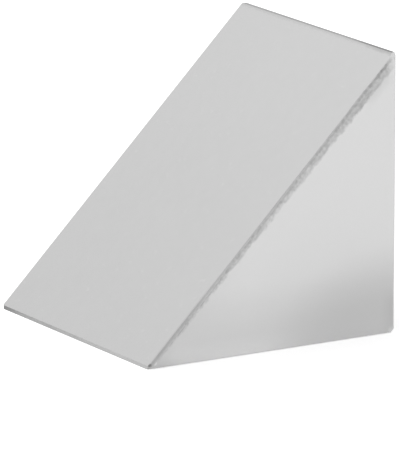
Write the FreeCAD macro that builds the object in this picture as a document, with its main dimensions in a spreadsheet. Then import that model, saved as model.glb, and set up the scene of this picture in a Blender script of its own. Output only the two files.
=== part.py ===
import FreeCAD, Part
import math
import os

import Sketcher

Vector = FreeCAD.Vector

# Right-angle prism, one solid piece of optical glass, lying on one of its two
# square leg faces. X runs from the toe, where the sloping face comes down to
# the base, to the upright back face. Y runs from the near end to the far end
# and Z is up. The origin is the centre of the base face.

doc = FreeCAD.newDocument("right_angle_prism")

# Driving dimensions in millimetres and degrees. A setback is measured along a
# face, from the sharp edge to the line where its bevel begins. A corner depth
# is measured from the sharp corner straight in to the flat ground on it.
dimensions = {
    "leg_length": 25.0,
    "slope_angle": 45.0,
    "prism_width": 25.0,
    "upright_setback": 0.27,
    "far_bevel_slope_setback_at_toe": 0.12,
    "far_bevel_slope_setback_at_crest": 0.32,
    "far_bevel_end_setback_at_toe": 0.12,
    "far_bevel_end_setback_at_crest": 0.32,
    "steep_bevel_slope_setback_at_toe": 0.12,
    "steep_bevel_slope_setback_at_crest": 0.042,
    "steep_bevel_end_setback_at_toe": 0.34,
    "steep_bevel_end_setback_at_crest": 0.119,
    "flat_bevel_slope_setback_at_toe": 0.014,
    "flat_bevel_slope_setback_at_crest": 0.025,
    "flat_bevel_end_setback_at_toe": 0.4,
    "flat_bevel_end_setback_at_crest": 0.714,
    "base_bevel_base_setback": 0.27,
    "base_bevel_end_setback": 0.14,
    "toe_base_setback": 0.27,
    "toe_slope_setback": 0.45,
    "heel_setback": 0.25,
    "crest_back_setback": 0.39,
    "crest_slope_setback": 0.55,
    "toe_corner_depth": 0.42,
    "heel_corner_depth": 0.34,
    "crest_corner_depth": 0.58,
}

# Flakes knocked out of the near sloping edge. Each has its distance along the
# edge from one end of it, half its length along the edge, its reach down the
# end face and its depth into the glass, measured from the end face.
flake_sizes = ("distance", "half_length", "reach", "depth")
flakes_from_toe = {
    "low_nick": (5.8, 0.9, 0.53, 0.07),
    "lower_flake": (12.1, 1.6, 0.6, 0.07),
    "middle_flake": (15.3, 1.4, 0.65, 0.07),
}
flakes_from_crest = {
    "upper_nick": (14.6, 1.1, 0.66, 0.065),
    "upper_flake": (11.2, 1.9, 0.72, 0.075),
    "crest_flake": (5.6, 2.3, 0.84, 0.085),
}

for flakes in (flakes_from_toe, flakes_from_crest):
    for flake, values in flakes.items():
        for size_name, value in zip(flake_sizes, values):
            dimensions[flake + "_" + size_name] = value

sheet = doc.addObject("Spreadsheet::Sheet", "dimensions")
for row, (alias, value) in enumerate(dimensions.items(), start=1):
    sheet.set("A%d" % row, alias)
    sheet.set("B%d" % row, str(value))
    sheet.setAlias("B%d" % row, alias)
doc.recompute()

body = doc.addObject("PartDesign::Body", "prism")
body.Label = "prism"
origin_planes = {plane.Role: plane for plane in body.Origin.OriginFeatures}


def new_sketch(name, plane_role="XZ_Plane"):
    """Empty sketch on one of the body's own planes."""
    sketch = body.newObject("Sketcher::SketchObject", name)
    sketch.AttachmentSupport = (origin_planes[plane_role], [""])
    sketch.MapMode = "FlatFace"
    return sketch


def add_triangle(sketch, points):
    """Closed triangle of lines; returns the index of the first of the three."""
    first = sketch.GeometryCount
    for i in range(3):
        sketch.addGeometry(Part.LineSegment(points[i], points[(i + 1) % 3]), False)
    for i in range(3):
        meeting = Sketcher.Constraint("Coincident", first + i, 2, first + (i + 1) % 3, 1)
        sketch.addConstraint(meeting)
    return first


def bind(sketch, constraint, name, expression):
    """Adds a named dimension to a sketch and ties it to the sheet."""
    index = sketch.addConstraint(constraint)
    sketch.renameConstraint(index, name)
    sketch.setExpression("Constraints." + name, expression)


# The blank: a sharp right triangle with its base centred on the origin,
# drawn out to the prism's width, half of it on each side of the sketch.
half_leg = sheet.leg_length / 2
half_width = sheet.prism_width / 2
slope_radians = math.radians(sheet.slope_angle)
rise = sheet.leg_length * math.tan(slope_radians)
toe_point = Vector(-half_leg, 0, 0)
heel_point = Vector(half_leg, 0, 0)
crest_point = Vector(half_leg, rise, 0)

section = new_sketch("cross_section")
base_line = add_triangle(section, [toe_point, heel_point, crest_point])
back_line = base_line + 1
slope_line = base_line + 2
section.addConstraint(Sketcher.Constraint("Horizontal", base_line))
section.addConstraint(Sketcher.Constraint("Vertical", back_line))
section.addConstraint(Sketcher.Constraint("Symmetric", base_line, 1, base_line, 2, -1, 1))
bind(section, Sketcher.Constraint("DistanceX", base_line, 1, base_line, 2, sheet.leg_length),
     "base_length", "dimensions.leg_length")
bind(section, Sketcher.Constraint("Angle", base_line, 1, slope_line, 2, slope_radians),
     "slope_angle", "dimensions.slope_angle * 1 deg")

blank = body.newObject("PartDesign::Pad", "blank")
blank.Profile = section
blank.SideType = "Symmetric"
blank.setExpression("Length", "dimensions.prism_width")
doc.recompute()


def edge_between(shape, first_point, second_point):
    """Name of the straight edge of a shape that joins two of its corners."""
    for number, edge in enumerate(shape.Edges, start=1):
        start, end = [vertex.Point for vertex in edge.Vertexes]
        if start.isEqual(first_point, 1e-6) and end.isEqual(second_point, 1e-6):
            return "Edge%d" % number
        if end.isEqual(first_point, 1e-6) and start.isEqual(second_point, 1e-6):
            return "Edge%d" % number
    raise ValueError("no edge joins these two corners")


# Upright bevels: the back's two upright edges are ground off evenly.
upright_edges = []
for y in (-half_width, half_width):
    heel, crest = [Vector(point.x, y, point.y) for point in (heel_point, crest_point)]
    upright_edges.append(edge_between(blank.Shape, heel, crest))

upright_bevels = body.newObject("PartDesign::Chamfer", "upright_bevels")
upright_bevels.Base = (blank, upright_edges)
upright_bevels.setExpression("Size", "dimensions.upright_setback")
doc.recompute()


def end_corner_triangle(sketch, end, upward, level_setback, end_setback):
    """Triangle in the corner between an end face and the sketch's level axis.
    The end is -1 for the near one or 1 for the far one, and the triangle stands
    on the axis for 1 or hangs from it for -1. Setbacks are dimensions' names."""
    name = "near" if end < 0 else "far"
    corner = Vector(end * half_width, 0, 0)
    on_level = corner - Vector(end * sheet.get(level_setback), 0, 0)
    on_end = corner + Vector(0, upward * sheet.get(end_setback), 0)
    first = add_triangle(sketch, [corner, on_level, on_end])
    sketch.addConstraint(Sketcher.Constraint("PointOnObject", first, 1, -1))
    sketch.addConstraint(Sketcher.Constraint("Horizontal", first))
    sketch.addConstraint(Sketcher.Constraint("Vertical", first + 2))
    from_middle = (first, 1, -1, 1) if end < 0 else (-1, 1, first, 1)
    bind(sketch, Sketcher.Constraint("DistanceX", *from_middle, half_width),
         name + "_from_middle", "dimensions.prism_width / 2")
    along_level = (first, 1, first, 2) if end < 0 else (first, 2, first, 1)
    bind(sketch, Sketcher.Constraint("DistanceX", *along_level, sheet.get(level_setback)),
         name + "_level_setback", "dimensions." + level_setback)
    along_end = (first + 2, 1, first + 2, 2) if upward < 0 else (first + 2, 2, first + 2, 1)
    bind(sketch, Sketcher.Constraint("DistanceY", *along_end, sheet.get(end_setback)),
         name + "_end_setback", "dimensions." + end_setback)


# Sloping edges: the far one's bevel leans evenly and widens from the toe to
# the crest. The near one has a steep narrow bevel, which all but runs out at
# the crest, and beyond it a nearly flat one, which widens. Each is cut between
# two triangles that stand square across the edge, one at each end of it.
slope = "dimensions.slope_angle * 1 deg"
rise_formula = "dimensions.leg_length * tan(%s)" % slope
edge_ends = {
    "toe": ("-dimensions.leg_length / 2", "0"),
    "crest": ("dimensions.leg_length / 2", rise_formula),
}
last_feature = upright_bevels
for bevel, end in (("far_bevel", 1), ("steep_bevel", -1), ("flat_bevel", -1)):
    triangles = []
    for place, (x, z) in edge_ends.items():
        triangle = new_sketch("%s_at_%s" % (bevel, place), "YZ_Plane")
        square_across = "placement(vector(0; %s; %s); rotation(vector(1; 0; 0); -%s))" % (z, x, slope)
        triangle.setExpression("AttachmentOffset", square_across)
        end_corner_triangle(triangle, end, -1, "%s_slope_setback_at_%s" % (bevel, place),
                            "%s_end_setback_at_%s" % (bevel, place))
        triangles.append(triangle)
    loft = body.newObject("PartDesign::SubtractiveLoft", bevel)
    loft.Profile = triangles[0]
    loft.Sections = triangles[1:]
    loft.Ruled = True
    doc.recompute()
    if loft.Shape.Volume >= last_feature.Shape.Volume:
        raise RuntimeError("%s cuts nothing" % bevel)
    last_feature = loft

# Base bevels: the lap leans over along both end edges of the base, so it takes
# more off the base face than off the end faces.
base_bevel_profile = new_sketch("base_bevel_profile", "YZ_Plane")
for end in (-1, 1):
    end_corner_triangle(base_bevel_profile, end, 1, "base_bevel_base_setback", "base_bevel_end_setback")

base_bevels = body.newObject("PartDesign::Pocket", "base_bevels")
base_bevels.Profile = base_bevel_profile
base_bevels.Type = "ThroughAll"
base_bevels.SideType = "Symmetric"
doc.recompute()
if base_bevels.Shape.Volume >= last_feature.Shape.Volume:
    raise RuntimeError("the base bevels cut nothing")

# Long bevels: a flat lap takes a strip off the toe, the heel and the crest,
# end to end, so each strip runs on through the bevels at its ends. The toe's
# stands upright, the crest's lies level and the heel's faces evenly outward.
bevel_profile = new_sketch("long_bevel_profile")
for line_name in ("Edge1", "Edge2", "Edge3"):
    bevel_profile.addExternal(section.Name, line_name)
base_side, back_side, slope_side = -3, -4, -5


def corner_triangle(name, corner, first_side, second_side):
    """Triangle in a corner of the section, between two of its sides. A side is
    given as its line, which end of it is the corner, and its setback's name."""
    points = [corner]
    for line, corner_end, setback in (first_side, second_side):
        segment = bevel_profile.ExternalGeo[-line - 1]
        ends = (segment.StartPoint, segment.EndPoint)
        away = ends[2 - corner_end] - ends[corner_end - 1]
        points.append(corner + away.normalize() * sheet.get(setback))
    first = add_triangle(bevel_profile, points)
    line, corner_end, setback = first_side
    bevel_profile.addConstraint(Sketcher.Constraint("Coincident", first, 1, line, corner_end))
    bevel_profile.addConstraint(Sketcher.Constraint("PointOnObject", first, 2, line))
    bind(bevel_profile, Sketcher.Constraint("Distance", first, sheet.get(setback)),
         name + "_first", "dimensions." + setback)
    line, corner_end, setback = second_side
    bevel_profile.addConstraint(Sketcher.Constraint("PointOnObject", first + 1, 2, line))
    bind(bevel_profile, Sketcher.Constraint("Distance", first + 2, sheet.get(setback)),
         name + "_second", "dimensions." + setback)


corner_triangle("toe", toe_point,
                (base_side, 1, "toe_base_setback"), (slope_side, 2, "toe_slope_setback"))
corner_triangle("heel", heel_point,
                (base_side, 2, "heel_setback"), (back_side, 1, "heel_setback"))
corner_triangle("crest", crest_point,
                (back_side, 2, "crest_back_setback"), (slope_side, 1, "crest_slope_setback"))

long_bevels = body.newObject("PartDesign::Pocket", "long_bevels")
long_bevels.Profile = bevel_profile
long_bevels.Type = "ThroughAll"
long_bevels.SideType = "Symmetric"
doc.recompute()
if long_bevels.Shape.Volume >= base_bevels.Shape.Volume:
    raise RuntimeError("the long bevels cut nothing")

# Corner flats: each of the six corners is touched square to the mean of its
# three faces. The cutter is a box whose floor is the flat.
corner_facings = {
    "toe": ("-dimensions.leg_length / 2", "0", "-sin(%s)" % slope, "(cos(%s) - 1)" % slope),
    "heel": ("dimensions.leg_length / 2", "0", "1", "-1"),
    "crest": ("dimensions.leg_length / 2", rise_formula, "(1 - sin(%s))" % slope, "cos(%s)" % slope),
}
for corner, (x, z, facing_x, facing_z) in corner_facings.items():
    depth = "dimensions.%s_corner_depth" % corner
    for end, side in (("near", -1), ("far", 1)):
        cutter = body.newObject("PartDesign::SubtractiveBox", "%s_%s_corner_flat" % (end, corner))
        for size in ("Length", "Width", "Height"):
            cutter.setExpression(size, "6 * " + depth)
        corner_point = "vector(%s; %d * dimensions.prism_width / 2; %s)" % (x, side, z)
        facing_length = "sqrt((%s)^2 + 1 + (%s)^2)" % (facing_x, facing_z)
        turn = "rotation(vector(%d; %s; 0); acos(%s / %s))" % (-side, facing_x, facing_z, facing_length)
        floor_corner = "vector(-3 * %s; -3 * %s; -%s)" % (depth, depth, depth)
        no_turn = "rotation(vector(0; 0; 1); 0)"
        cutter.setExpression("Placement", "placement(%s; %s) * placement(%s; %s)"
                             % (corner_point, turn, floor_corner, no_turn))
doc.recompute()

# Flakes: shallow shell-shaped scars. Each is cut by an ellipsoid that hangs
# outside the end face, over the line where the sharp edge was, with its long
# axis along that line. It hangs out by twice the scar's depth, so that the
# scar runs up to a shallow rim where the ellipsoid crosses the end face.
depths_outside = 2
depths_across = depths_outside + 1
rim_share = math.sqrt(1 - (depths_outside / depths_across) ** 2)
edge_length = "dimensions.leg_length / cos(%s)" % slope


def add_flake(name, along_edge):
    """One flake, given its name and the formula of its place on the edge."""
    flake = body.newObject("PartDesign::SubtractiveEllipsoid", name)
    flake.setExpression("Radius1", "dimensions.%s_reach / %.6f" % (name, rim_share))
    flake.setExpression("Radius2", "dimensions.%s_half_length / %.6f" % (name, rim_share))
    flake.setExpression("Radius3", "%d * dimensions.%s_depth" % (depths_across, name))
    x = "(%s) * cos(%s) - dimensions.leg_length / 2" % (along_edge, slope)
    y = "-dimensions.prism_width / 2 - %d * dimensions.%s_depth" % (depths_outside, name)
    z = "(%s) * sin(%s)" % (along_edge, slope)
    flake.setExpression("Placement", "placement(vector(%s; %s; %s); rotation(vector(0; 1; 0); -%s))"
                        % (x, y, z, slope))


for flake in flakes_from_toe:
    add_flake(flake, "dimensions.%s_distance" % flake)
for flake in flakes_from_crest:
    add_flake(flake, "%s - dimensions.%s_distance" % (edge_length, flake))
doc.recompute()

for item in doc.Objects:
    if "Invalid" in item.State or "Error" in item.State:
        raise RuntimeError("%s failed: %s" % (item.Name, item.State))
if body.Shape.isNull() or not body.Shape.isValid() or len(body.Shape.Solids) != 1:
    raise RuntimeError("the prism is not one valid solid")

os.makedirs("parts", exist_ok=True)
body.Shape.exportStep("parts/%s.step" % body.Label)
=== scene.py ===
import math
import random

import bpy
from mathutils import Matrix, Vector


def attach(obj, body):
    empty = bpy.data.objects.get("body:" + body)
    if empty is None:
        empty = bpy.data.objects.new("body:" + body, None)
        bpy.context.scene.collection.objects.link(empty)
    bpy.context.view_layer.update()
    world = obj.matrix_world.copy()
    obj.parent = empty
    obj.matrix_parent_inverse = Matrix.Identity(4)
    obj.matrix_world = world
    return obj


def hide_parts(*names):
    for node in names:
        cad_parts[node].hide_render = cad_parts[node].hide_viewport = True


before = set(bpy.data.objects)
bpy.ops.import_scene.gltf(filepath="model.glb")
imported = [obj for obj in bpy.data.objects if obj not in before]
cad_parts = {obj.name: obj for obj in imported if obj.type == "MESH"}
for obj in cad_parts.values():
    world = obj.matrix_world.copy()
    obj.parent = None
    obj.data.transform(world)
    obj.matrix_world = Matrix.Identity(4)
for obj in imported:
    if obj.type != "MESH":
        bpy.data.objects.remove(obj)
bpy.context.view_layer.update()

# Prism blank: one block of optical glass, cut as a cube to the length of the
# legs. It stands centred on the origin, on the leg face that becomes the base.
mm = 0.001
leg = 25 * mm
half = leg / 2

bpy.ops.object.select_all(action="DESELECT")
bpy.ops.mesh.primitive_cube_add(size=leg, location=(0, 0, half))
prism = bpy.context.object
prism.name = "right_angle_prism"
prism.data.name = "right_angle_prism"
bpy.ops.object.transform_apply(location=True, rotation=True, scale=True)

# Ground finish: the leg and end faces are fine-ground and silvery, and bruised along
# the near sloping edge. Painted shade darkens them towards the toe, at the heel and
# in a band above the foot, and painted light pales them along the foot and at the heel's corner.
ground_grey = 0.745
glass_ior = 1.52
half_mm = half / mm
slant = math.sqrt(0.5)


class Wire:
    """An output of a shader node. Arithmetic with it adds the Math nodes."""

    def __init__(self, tree, socket=None):
        self.tree = tree
        self.socket = socket

    def node(self, kind, settings, inputs, output=0):
        """Adds a node, with its settings made first, and returns one output of it."""
        made = self.tree.nodes.new(kind)
        for name, value in settings.items():
            if name == "stops":
                ramp = made.color_ramp
                while len(ramp.elements) < len(value):
                    ramp.elements.new(1)
                for stop, (place, grey) in zip(ramp.elements, value):
                    stop.position = place
                    stop.color = (grey, grey, grey, 1)
            else:
                setattr(made, name, value)
        for name, value in inputs.items():
            if isinstance(value, Wire):
                self.tree.links.new(value.socket, made.inputs[name])
            else:
                made.inputs[name].default_value = value
        if made.outputs:
            return Wire(self.tree, made.outputs[output])

    def maths(self, operation, first, second):
        return self.node("ShaderNodeMath", {"operation": operation}, {0: first, 1: second})

    def __add__(self, other):
        return self.maths("ADD", self, other)

    def __radd__(self, other):
        return self.maths("ADD", other, self)

    def __sub__(self, other):
        return self.maths("SUBTRACT", self, other)

    def __rsub__(self, other):
        return self.maths("SUBTRACT", other, self)

    def __mul__(self, other):
        return self.maths("MULTIPLY", self, other)

    def __rmul__(self, other):
        return self.maths("MULTIPLY", other, self)

    def __truediv__(self, other):
        return self.maths("DIVIDE", self, other)

    def __pow__(self, other):
        return self.maths("POWER", self, other)

    def rise(self, low, high):
        """0 below the low value, 1 above the high one, and a smooth rise between."""
        return self.node("ShaderNodeMapRange", {"interpolation_type": "SMOOTHSTEP"},
                         {"Value": self, "From Min": low, "From Max": high})

    def fall(self, low, high):
        """1 below the low value, 0 above the high one, and a smooth fall between."""
        return 1 - self.rise(low, high)

    def part(self, axis):
        """X, Y or Z of a vector."""
        return self.node("ShaderNodeSeparateXYZ", {}, {"Vector": self}, axis)

    def grain(self, scale, detail=2.0):
        """Soft noise about 0.5, with so many spots to the millimetre."""
        inputs = {"Vector": self, "Scale": scale, "Detail": detail}
        return self.node("ShaderNodeTexNoise", {}, inputs)


def new_finish(name):
    """Empty material, and the object's own coordinates in it, in millimetres."""
    material = bpy.data.materials.new(name)
    material.use_nodes = True
    material.node_tree.nodes.clear()
    metres = Wire(material.node_tree).node("ShaderNodeTexCoord", {}, {}, "Object")
    place = metres.node("ShaderNodeMapping", {}, {"Vector": metres, "Scale": (1 / mm, 1 / mm, 1 / mm)})
    return material, place


def lay_finish(tone, roughness, height, strength, depth, metal=0.0):
    """Grey surface of a tone, a roughness and a share of metal, with a relief so
    many metres deep."""
    shade = tone.node("ShaderNodeCombineColor", {}, {"Red": tone, "Green": tone, "Blue": tone})
    relief = tone.node("ShaderNodeBump", {},
                       {"Height": height, "Strength": strength, "Distance": depth}, "Normal")
    surface = tone.node("ShaderNodeBsdfPrincipled", {}, {
        "Base Color": shade, "Metallic": metal, "Roughness": roughness, "IOR": glass_ior,
        "Normal": relief})
    tone.node("ShaderNodeOutputMaterial", {}, {"Surface": surface})


def up_slope(place):
    """How far up the slope from the toe, in millimetres."""
    return (place.part("X") + place.part("Z") + half_mm) * slant


def below_slope(place):
    """How far below the sloping face, square to it, in millimetres."""
    return (place.part("X") - place.part("Z") + half_mm) * slant


def toe_nick(place):
    """How much the dark nick beside the near toe corner takes from the tone."""
    nick_middle = (0.385 - half_mm, 0.08 - half_mm, 0.385)
    x, y, z = [place.part(axis) - middle for axis, middle in zip("XYZ", nick_middle)]
    return 0.55 * (x * x + y * y + z * z).fall(0.008, 0.055)


def edge_wear(place):
    """How much the wear beside the near sloping edge takes from the tone: a dark
    line where the flaking is deepest, a ragged bruised band beyond it, and a
    deeper bruise below the crest. The line's lip is paler in the upper half."""
    along, below = up_slope(place), below_slope(place)
    line_end = 0.29 - 0.003 * along + 0.03 * along.rise(24, 28) + 0.2 * place.grain(1.6, 3)
    line = (below - line_end).fall(-0.07, 0.07) * along.fall(34, 34.7)
    line_depth = 0.12 + 0.11 * along.rise(31.5, 33.5)
    band_end = 0.08 + 0.0165 * along + 0.64 * place.grain(1.5, 3)
    band = (below - band_end).fall(-0.15, 0.13) * along.fall(33.2, 34.4)
    band_depth = 0.11 + 0.03 * along.rise(8, 12) + 0.06 * along.rise(22, 28)
    band_depth = band_depth + 0.14 * place.grain(3.2, 3).rise(0.32, 0.68)
    bruise = 0.09 * along.rise(29.5, 31) * along.fall(32.6, 33.6) * below.fall(0.9, 1.9)
    wear = line_depth * line + band_depth * band + bruise * (1 - 0.7 * band)
    lip = 0.3 * along.rise(20, 25) * along.fall(32, 33) * below.fall(0.02, 0.16)
    from_near_end = place.part("Y") + half_mm
    at_near_end = from_near_end.fall(0.2, 0.4) * along.rise(0.5, 4)
    return at_near_end * (1 - lip) * wear + toe_nick(place)


ground_finish, place = new_finish("fine_ground_glass")
x, z = place.part("X"), place.part("Z")
from_toe, from_heel = x + half_mm, half_mm - x
painted_heel_shade_length, painted_heel_shade_height = 13, 8
fine = place.grain(9)
patches = place.grain(0.22, 3)
# Painted shade at the heel, towards the toe, in a band above the foot and beside the heel's upright
# edge; painted light along the foot and at the heel's corner.
painted_heel_shade = 0.12 * ((from_heel / painted_heel_shade_length) ** 2 + (z / painted_heel_shade_height) ** 2).fall(0.15, 1.15)
painted_toe_shade = 0.14 * from_toe.fall(0, 11) + 0.1 * from_toe.fall(0.5, 3.5)
painted_foot_shade = 0.035 * z.rise(1.2, 3) * z.fall(4, 6.5)
painted_foot_light = z.fall(0, 2) * from_toe.rise(0, 4.5) * (0.06 + 0.12 * from_toe.fall(6.5, 19.5))
painted_corner_shade = 0.08 * from_heel.fall(0.2, 1.7) * z.fall(2.4, 4.6)
painted_corner_light = 0.18 * from_heel.fall(0.5, 0.9) * z.fall(0.35, 0.75)
tone = ground_grey * (0.97 + 0.03 * fine + 0.03 * patches) * (1 - edge_wear(place))
tone = tone * (1 - painted_heel_shade) * (1 - painted_toe_shade) * (1 - painted_foot_shade) * (1 + painted_foot_light)
tone = tone * (1 - painted_corner_shade) * (1 + painted_corner_light)
lay_finish(tone, roughness=0.34 + 0.08 * patches, height=fine, strength=0.25, depth=0.02 * mm,
           metal=0.55)

# Mirror film: bright metal laid on the sloping face in a vacuum, thinner than
# any light wave is long. It is a little hazy and specked, thins out below the
# crest's bevel, and is rubbed along the near edge by the toe.
film_grey = 0.915
leg_mm = leg / mm
edge_length = leg * math.sqrt(2)
mirror_film, place = new_finish("mirror_film")
along = up_slope(place)
from_toe, from_near_end = place.part("X") + half_mm, place.part("Y") + half_mm
haze = place.grain(0.12, 3)
mottle = place.grain(0.9, 4)
specks = place.grain(1.6, 3).rise(0.64, 0.72)
near_corner = from_near_end.fall(1.5, 6.5)
below_crest = edge_length / mm - along
thin_edge = (below_crest - 0.4 * place.grain(1.5, 4) - 0.04 * near_corner).fall(0.4, 0.7)
rubbed = 0.09 * from_near_end.fall(0.1, 0.45) * along.fall(6.4, 11.3)
# Painted light: the film's tone is made a little brighter towards the crest.
tone = film_grey * (0.98 + 0.03 * haze) * (0.96 + 0.04 * from_toe / leg_mm) * (0.985 + 0.03 * mottle)
tone = tone * (1 + 0.03 * specks) * (1 - (0.09 + 0.1 * near_corner) * thin_edge)
tone = tone * (1 - rubbed) * (1 - toe_nick(place))
lay_finish(tone, roughness=0.08 + 0.06 * haze + 0.2 * thin_edge, height=haze, strength=0.02,
           depth=0.01 * mm, metal=1.0)

# Coarse bevels: the near sloping edge, the toe and the crest are cut with a
# coarser lap than the faces, so they are duller. Painted shade darkens the toe's strip to
# the far end and the crest's strip, most at the near end, and painted light pales the sloping one
# upwards.
coarse_grey = 0.5
coarse_bevel, place = new_finish("coarse_bevel")
along, below = up_slope(place), below_slope(place)
from_near_end, z = place.part("Y") + half_mm, place.part("Z")
pits = place.grain(5, 3)
drift = place.grain(0.35)
toe_strip, crest_strip = z.fall(0.4, 0.5), z.rise(24.5, 24.6)
# Painted shade on the toe and crest strips, and painted light on the sloping strip.
painted_toe_shade = toe_strip * (0.26 * from_near_end.rise(0.5, 24.5) + 0.27 * from_near_end.rise(20.5, 24.5))
painted_crest_shade = crest_strip * (0.3 + 0.25 * from_near_end.fall(3.5, 7.5))
sloping_strip = from_near_end.fall(0.15, 0.25) * (1 - crest_strip)
painted_sloping_light = 0.19 * along.rise(2, 11) + 0.2 * below.rise(0.12, 0.3) * along.fall(8, 12)
painted_sloping_light = painted_sloping_light + 0.2 * along.rise(25, 29) * below.fall(0.02, 0.09)
tone = coarse_grey * (0.8 + 0.2 * pits + 0.2 * drift) * (1 - toe_nick(place))
tone = tone * (1 - painted_toe_shade) * (1 - painted_crest_shade) * (1 + sloping_strip * painted_sloping_light)
lay_finish(tone, roughness=0.45 + 0.2 * pits, height=pits, strength=0.5, depth=0.04 * mm)

# Fine bevels: the other edges are cut with the faces' own lap. Their grey is paler than
# the faces', partly painted light. The back's upright bevels are greyer above the heel.
# Partly painted light: the fine bevels' grey is raised above the faces'.
fine_grey_painted_pale = 0.9
fine_bevel, place = new_finish("fine_bevel")
from_heel, z = half_mm - place.part("X"), place.part("Z")
pits = place.grain(7, 3)
drift = place.grain(0.4)
upright_shade = 0.25 * from_heel.fall(0.3, 0.35) * z.rise(2, 7) * z.fall(24.1, 24.3)
tone = fine_grey_painted_pale * (0.84 + 0.16 * pits + 0.16 * drift) * (1 - upright_shade)
lay_finish(tone, roughness=0.4 + 0.15 * pits, height=pits, strength=0.35, depth=0.03 * mm, metal=0.5)

# Broken glass: a flake leaves a shell-shaped scar, glossy and finely rippled.
# It is as bruised as the end face that it is broken out of.
scar_grey = 0.72
broken_glass, place = new_finish("broken_glass")
ripple = place.grain(4, 3)
tone = scar_grey * (0.9 + 0.2 * ripple) * (1 - edge_wear(place))
lay_finish(tone, roughness=0.3 + 0.1 * ripple, height=ripple, strength=0.5, depth=0.05 * mm, metal=0.5)

# Sloping face: the cube is cut through from toe to crest, and the cut takes the
# mirror film. A flat lap grinds this face and every bevel, and each is given by
# three points of the lap's plane. What it leaves has sharp edges.
toe = Vector((-half, 0, 0))
heel = Vector((half, 0, 0))
crest = Vector((half, 0, leg))
near = Vector((0, -half, 0))
far = Vector((0, half, 0))
inside = Vector((half / 3, 0, leg / 3))
touching = 0.0001 * mm
finishes = [ground_finish, mirror_film, coarse_bevel, fine_bevel, broken_glass]
for finish in finishes:
    prism.data.materials.append(finish)


def grind(first, second, third, finish):
    """Laps the block down to the plane of three points, and gives the new facet its finish."""
    facing = (second - first).cross(third - first).normalized()
    if facing.dot(first - inside) < 0:
        facing.negate()
    bpy.ops.mesh.select_all(action="SELECT")
    bpy.ops.mesh.bisect(plane_co=first, plane_no=facing, use_fill=True, clear_outer=True,
                        threshold=touching)
    prism.active_material_index = finishes.index(finish)
    bpy.ops.object.material_slot_assign()
    bpy.ops.mesh.region_to_loop()
    bpy.ops.mesh.mark_sharp()
    bpy.ops.mesh.select_mode(type="FACE")


bpy.ops.object.mode_set(mode="EDIT")
bpy.ops.mesh.select_mode(type="FACE")
grind(toe, crest, crest + near, mirror_film)

# Upright and base bevels: the back's upright edges are ground off evenly, and
# on the base's end edges the lap leans over, so it takes more off the base.
upright_setback = 0.27 * mm
base_setback, base_end_setback = 0.27 * mm, 0.14 * mm
for end in (near, far):
    upright_in = -end.normalized() * upright_setback
    grind(heel + end + upright_in, crest + end + upright_in,
          crest + end - Vector((upright_setback, 0, 0)), fine_bevel)
    base_in = -end.normalized() * base_setback
    grind(toe + end + base_in, heel + end + base_in,
          heel + end + Vector((0, 0, base_end_setback)), fine_bevel)

# Sloping edges: the far one's bevel leans evenly and widens from the toe to
# the crest. The near one has a steep narrow bevel, which all but runs out at
# the crest, and beyond it a nearly flat one in the end face's own finish.
down_end = Vector((1, 0, -1)).normalized()
for end, slope_at_toe, slope_at_crest, end_at_toe, finish in (
        (far, 0.12 * mm, 0.32 * mm, 0.12 * mm, fine_bevel),
        (near, 0.12 * mm, 0.042 * mm, 0.34 * mm, coarse_bevel),
        (near, 0.014 * mm, 0.025 * mm, 0.4 * mm, ground_finish)):
    inward = -end.normalized()
    grind(toe + end + inward * slope_at_toe, crest + end + inward * slope_at_crest,
          toe + end + down_end * end_at_toe, finish)

# Long bevels: a strip is taken off the toe, the heel and the crest, from end to
# end. Each has its own two setbacks, one on either face beside it.
along_slope = Vector((1, 0, 1)).normalized()
for corner, first_way, first_setback, second_way, second_setback, finish in (
        (toe, Vector((1, 0, 0)), 0.27 * mm, along_slope, 0.45 * mm, coarse_bevel),
        (heel, Vector((-1, 0, 0)), 0.25 * mm, Vector((0, 0, 1)), 0.25 * mm, fine_bevel),
        (crest, Vector((0, 0, -1)), 0.39 * mm, -along_slope, 0.55 * mm, coarse_bevel)):
    on_first_face = corner + first_way * first_setback
    grind(on_first_face, on_first_face + near, corner + second_way * second_setback, finish)

# Corner flats: each corner is touched off to a depth, square to the mean of the
# directions in which its three faces look.
for corner, depth, facing, near_finish, far_finish in (
        (toe, 0.42 * mm, Vector((-slant, 0, slant - 1)), coarse_bevel, coarse_bevel),
        (heel, 0.34 * mm, Vector((1, 0, -1)), fine_bevel, fine_bevel),
        (crest, 0.58 * mm, Vector((1 - slant, 0, slant)), fine_bevel, ground_finish)):
    for end, finish in ((near, near_finish), (far, far_finish)):
        straight_in = (facing + end.normalized()).normalized()
        first = corner + end - straight_in * depth
        across = straight_in.orthogonal()
        grind(first, first + across, first + straight_in.cross(across), finish)
bpy.ops.object.mode_set(mode="OBJECT")

# Large flakes: the six largest shell-shaped scars along the near sloping edge.
# Each cutter is a stretched ball that hangs outside the end face by twice the
# scar's depth, so that the scar runs up to a shallow rim.
near_edge = toe + near
hang = 2
rim_share = math.sqrt(1 - (hang / (hang + 1)) ** 2)


def flake_cutter(middle, half_length, reach, depth, rounds):
    """A ball shaped for one flake, which opens on the near end face by the sloping edge."""
    outward = near.normalized()
    turn = Matrix((along_slope, outward, along_slope.cross(outward))).transposed()
    bpy.ops.mesh.primitive_ico_sphere_add(subdivisions=rounds, radius=1, rotation=turn.to_euler(),
                                          location=middle + outward * hang * depth)
    ball = bpy.context.object
    ball.scale = (half_length / rim_share, (hang + 1) * depth, reach / rim_share)
    bpy.ops.object.transform_apply(location=True, rotation=True, scale=True)
    ball.data.materials.append(broken_glass)
    return ball


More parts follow.
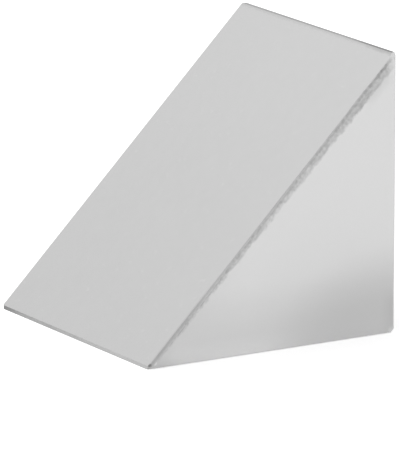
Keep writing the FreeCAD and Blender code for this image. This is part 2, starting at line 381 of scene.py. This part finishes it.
def knock_out(cutters):
    """Joins the cutters, which stand clear of each other, and takes them out of the prism."""
    bpy.ops.object.select_all(action="DESELECT")
    for cutter in cutters:
        cutter.select_set(True)
    bpy.context.view_layer.objects.active = cutters[0]
    bpy.ops.object.join()
    bpy.ops.object.select_all(action="DESELECT")
    prism.select_set(True)
    bpy.context.view_layer.objects.active = prism
    cut = prism.modifiers.new("flakes", "BOOLEAN")
    cut.operation = "DIFFERENCE"
    cut.solver = "MANIFOLD"
    cut.material_mode = "TRANSFER"
    cut.object = cutters[0]
    bpy.ops.object.modifier_apply(modifier=cut.name)
    bpy.data.objects.remove(cutters[0])


large_rounds = 4
large_flakes = [
    (near_edge + along_slope * distance * mm, half_length * mm, reach * mm, depth * mm)
    for distance, half_length, reach, depth in (
        (5.8, 0.9, 0.53, 0.07), (12.1, 1.6, 0.6, 0.07), (15.3, 1.4, 0.65, 0.07),
        (20.755, 1.1, 0.66, 0.065), (24.155, 1.9, 0.72, 0.075), (29.755, 2.3, 0.84, 0.085))]
for start in range(2):
    knock_out([flake_cutter(*flake, large_rounds) for flake in large_flakes[start::2]])

# Small flakes: many more along the same edge, most of which overlap, and which
# reach further towards the crest. They keep clear of the corners, and are taken
# out in three goes, every third flake at a time.
small_rounds = 3
small_count = 54
corner_share = 0.02
chance = random.Random(11)
small_flakes = []
for i in range(small_count):
    share = (i + 0.5 + chance.uniform(-0.35, 0.35)) / small_count
    half_length = chance.uniform(0.16, 0.5) * mm
    reach = (0.33 + 0.3 * share + chance.uniform(-0.06, 0.12)) * mm
    depth = chance.uniform(0.02, 0.045) * mm
    middle = near_edge + along_slope * edge_length * (corner_share + (1 - 2 * corner_share) * share)
    small_flakes.append((middle, half_length, reach, depth))
for start in range(3):
    knock_out([flake_cutter(*flake, small_rounds) for flake in small_flakes[start::3]])

# Scars are smooth inside, and sharp round their rims and where two meet. The
# many-sided faces round them are split into even triangles.
sharp_angle = math.radians(9)
bpy.ops.object.mode_set(mode="EDIT")
bpy.ops.mesh.select_mode(type="FACE")
bpy.ops.mesh.select_all(action="SELECT")
bpy.ops.mesh.dissolve_degenerate(threshold=touching)
bpy.ops.mesh.quads_convert_to_tris(quad_method="BEAUTY", ngon_method="BEAUTY")
bpy.ops.mesh.select_all(action="DESELECT")
prism.active_material_index = finishes.index(broken_glass)
bpy.ops.object.material_slot_select()
bpy.ops.mesh.region_to_loop()
bpy.ops.mesh.mark_sharp()
bpy.ops.mesh.select_mode(type="FACE")
bpy.ops.object.mode_set(mode="OBJECT")
bpy.ops.object.shade_smooth_by_angle(angle=sharp_angle, keep_sharp_edges=True)

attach(prism, "root")
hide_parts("prism")

# Floor: a plain sheet of white paper, far wider than the view. It glows a
# little where it is seen, straight or through the prism, and less in a mirror.
floor_width = 8
floor_grey = 0.8
seen_glow, mirrored_glow = 0.52, 0.3
bpy.ops.mesh.primitive_plane_add(size=floor_width, location=(0, 0, 0))
floor = bpy.context.object
floor.name = "floor"
paper, place = new_finish("white_paper")
seen, mirrored, through = [place.node("ShaderNodeLightPath", {}, {}, kind)
                           for kind in ("Is Camera Ray", "Is Glossy Ray", "Is Transmission Ray")]
lit = place.node("ShaderNodeBsdfDiffuse", {}, {"Color": (floor_grey, floor_grey, floor_grey, 1)})
strength = seen_glow * (seen + through) + mirrored_glow * mirrored
glow = place.node("ShaderNodeEmission", {}, {"Strength": strength})
surface = place.node("ShaderNodeAddShader", {}, {0: lit, 1: glow})
place.node("ShaderNodeOutputMaterial", {}, {"Surface": surface})
floor.data.materials.append(paper)

# Light: studio walls, palest at the horizon and greyer above it, with each grey
# given at the sine of its height. One broad soft lamp stands behind and to the
# left, and the prism doesn't mirror it.
wall_greys = [(0.0, 0.86), (0.04, 0.86), (0.16, 0.68), (0.45, 0.64), (0.58, 0.74), (0.9, 0.7)]
lamp_direction = Vector((-0.35, 0.6, 0.72)).normalized()
lamp_strength = 1.6
lamp_breadth = math.radians(30)
world = bpy.data.worlds.new("studio")
bpy.context.scene.world = world
world.use_nodes = True
world.node_tree.nodes.clear()
direction = Wire(world.node_tree).node("ShaderNodeTexCoord", {}, {}, "Generated")
walls = direction.node("ShaderNodeValToRGB", {"stops": wall_greys}, {"Fac": direction.part("Z")})
backdrop = direction.node("ShaderNodeBackground", {}, {"Color": walls, "Strength": 1.0})
direction.node("ShaderNodeOutputWorld", {}, {"Surface": backdrop})

bpy.ops.object.light_add(type="SUN", location=lamp_direction)
lamp = bpy.context.object
lamp.name = "soft_lamp"
lamp.rotation_euler = lamp_direction.to_track_quat("Z", "Y").to_euler()
lamp.data.energy = lamp_strength
lamp.data.angle = lamp_breadth
lamp.visible_glossy = False

# Camera: a long lens at the photograph's angle, a little above the prism. Its
# aim lies slightly beside the prism's middle and below it, as the photograph's.
azimuth, elevation = math.radians(-31.2234), math.radians(13.5976)
distance = 615.34 * mm
shift_right, shift_down = 0.3367 * mm, 4.4848 * mm
lens_length = 553.78
back = Vector((math.sin(azimuth) * math.cos(elevation), -math.cos(azimuth) * math.cos(elevation),
               math.sin(elevation)))
right = Vector((0, 0, 1)).cross(back).normalized()
down = right.cross(back)
middle = Vector((0, 0, half))
bpy.ops.object.camera_add(location=middle + back * distance + right * shift_right + down * shift_down)
camera = bpy.context.object
camera.name = "camera"
camera.rotation_mode = "QUATERNION"
camera.rotation_quaternion = back.to_track_quat("Z", "Y")
camera.data.lens = lens_length
camera.data.clip_start = 0.01
camera.data.clip_end = 20
bpy.context.scene.camera = camera
bpy.context.scene.view_settings.view_transform = "Standard"
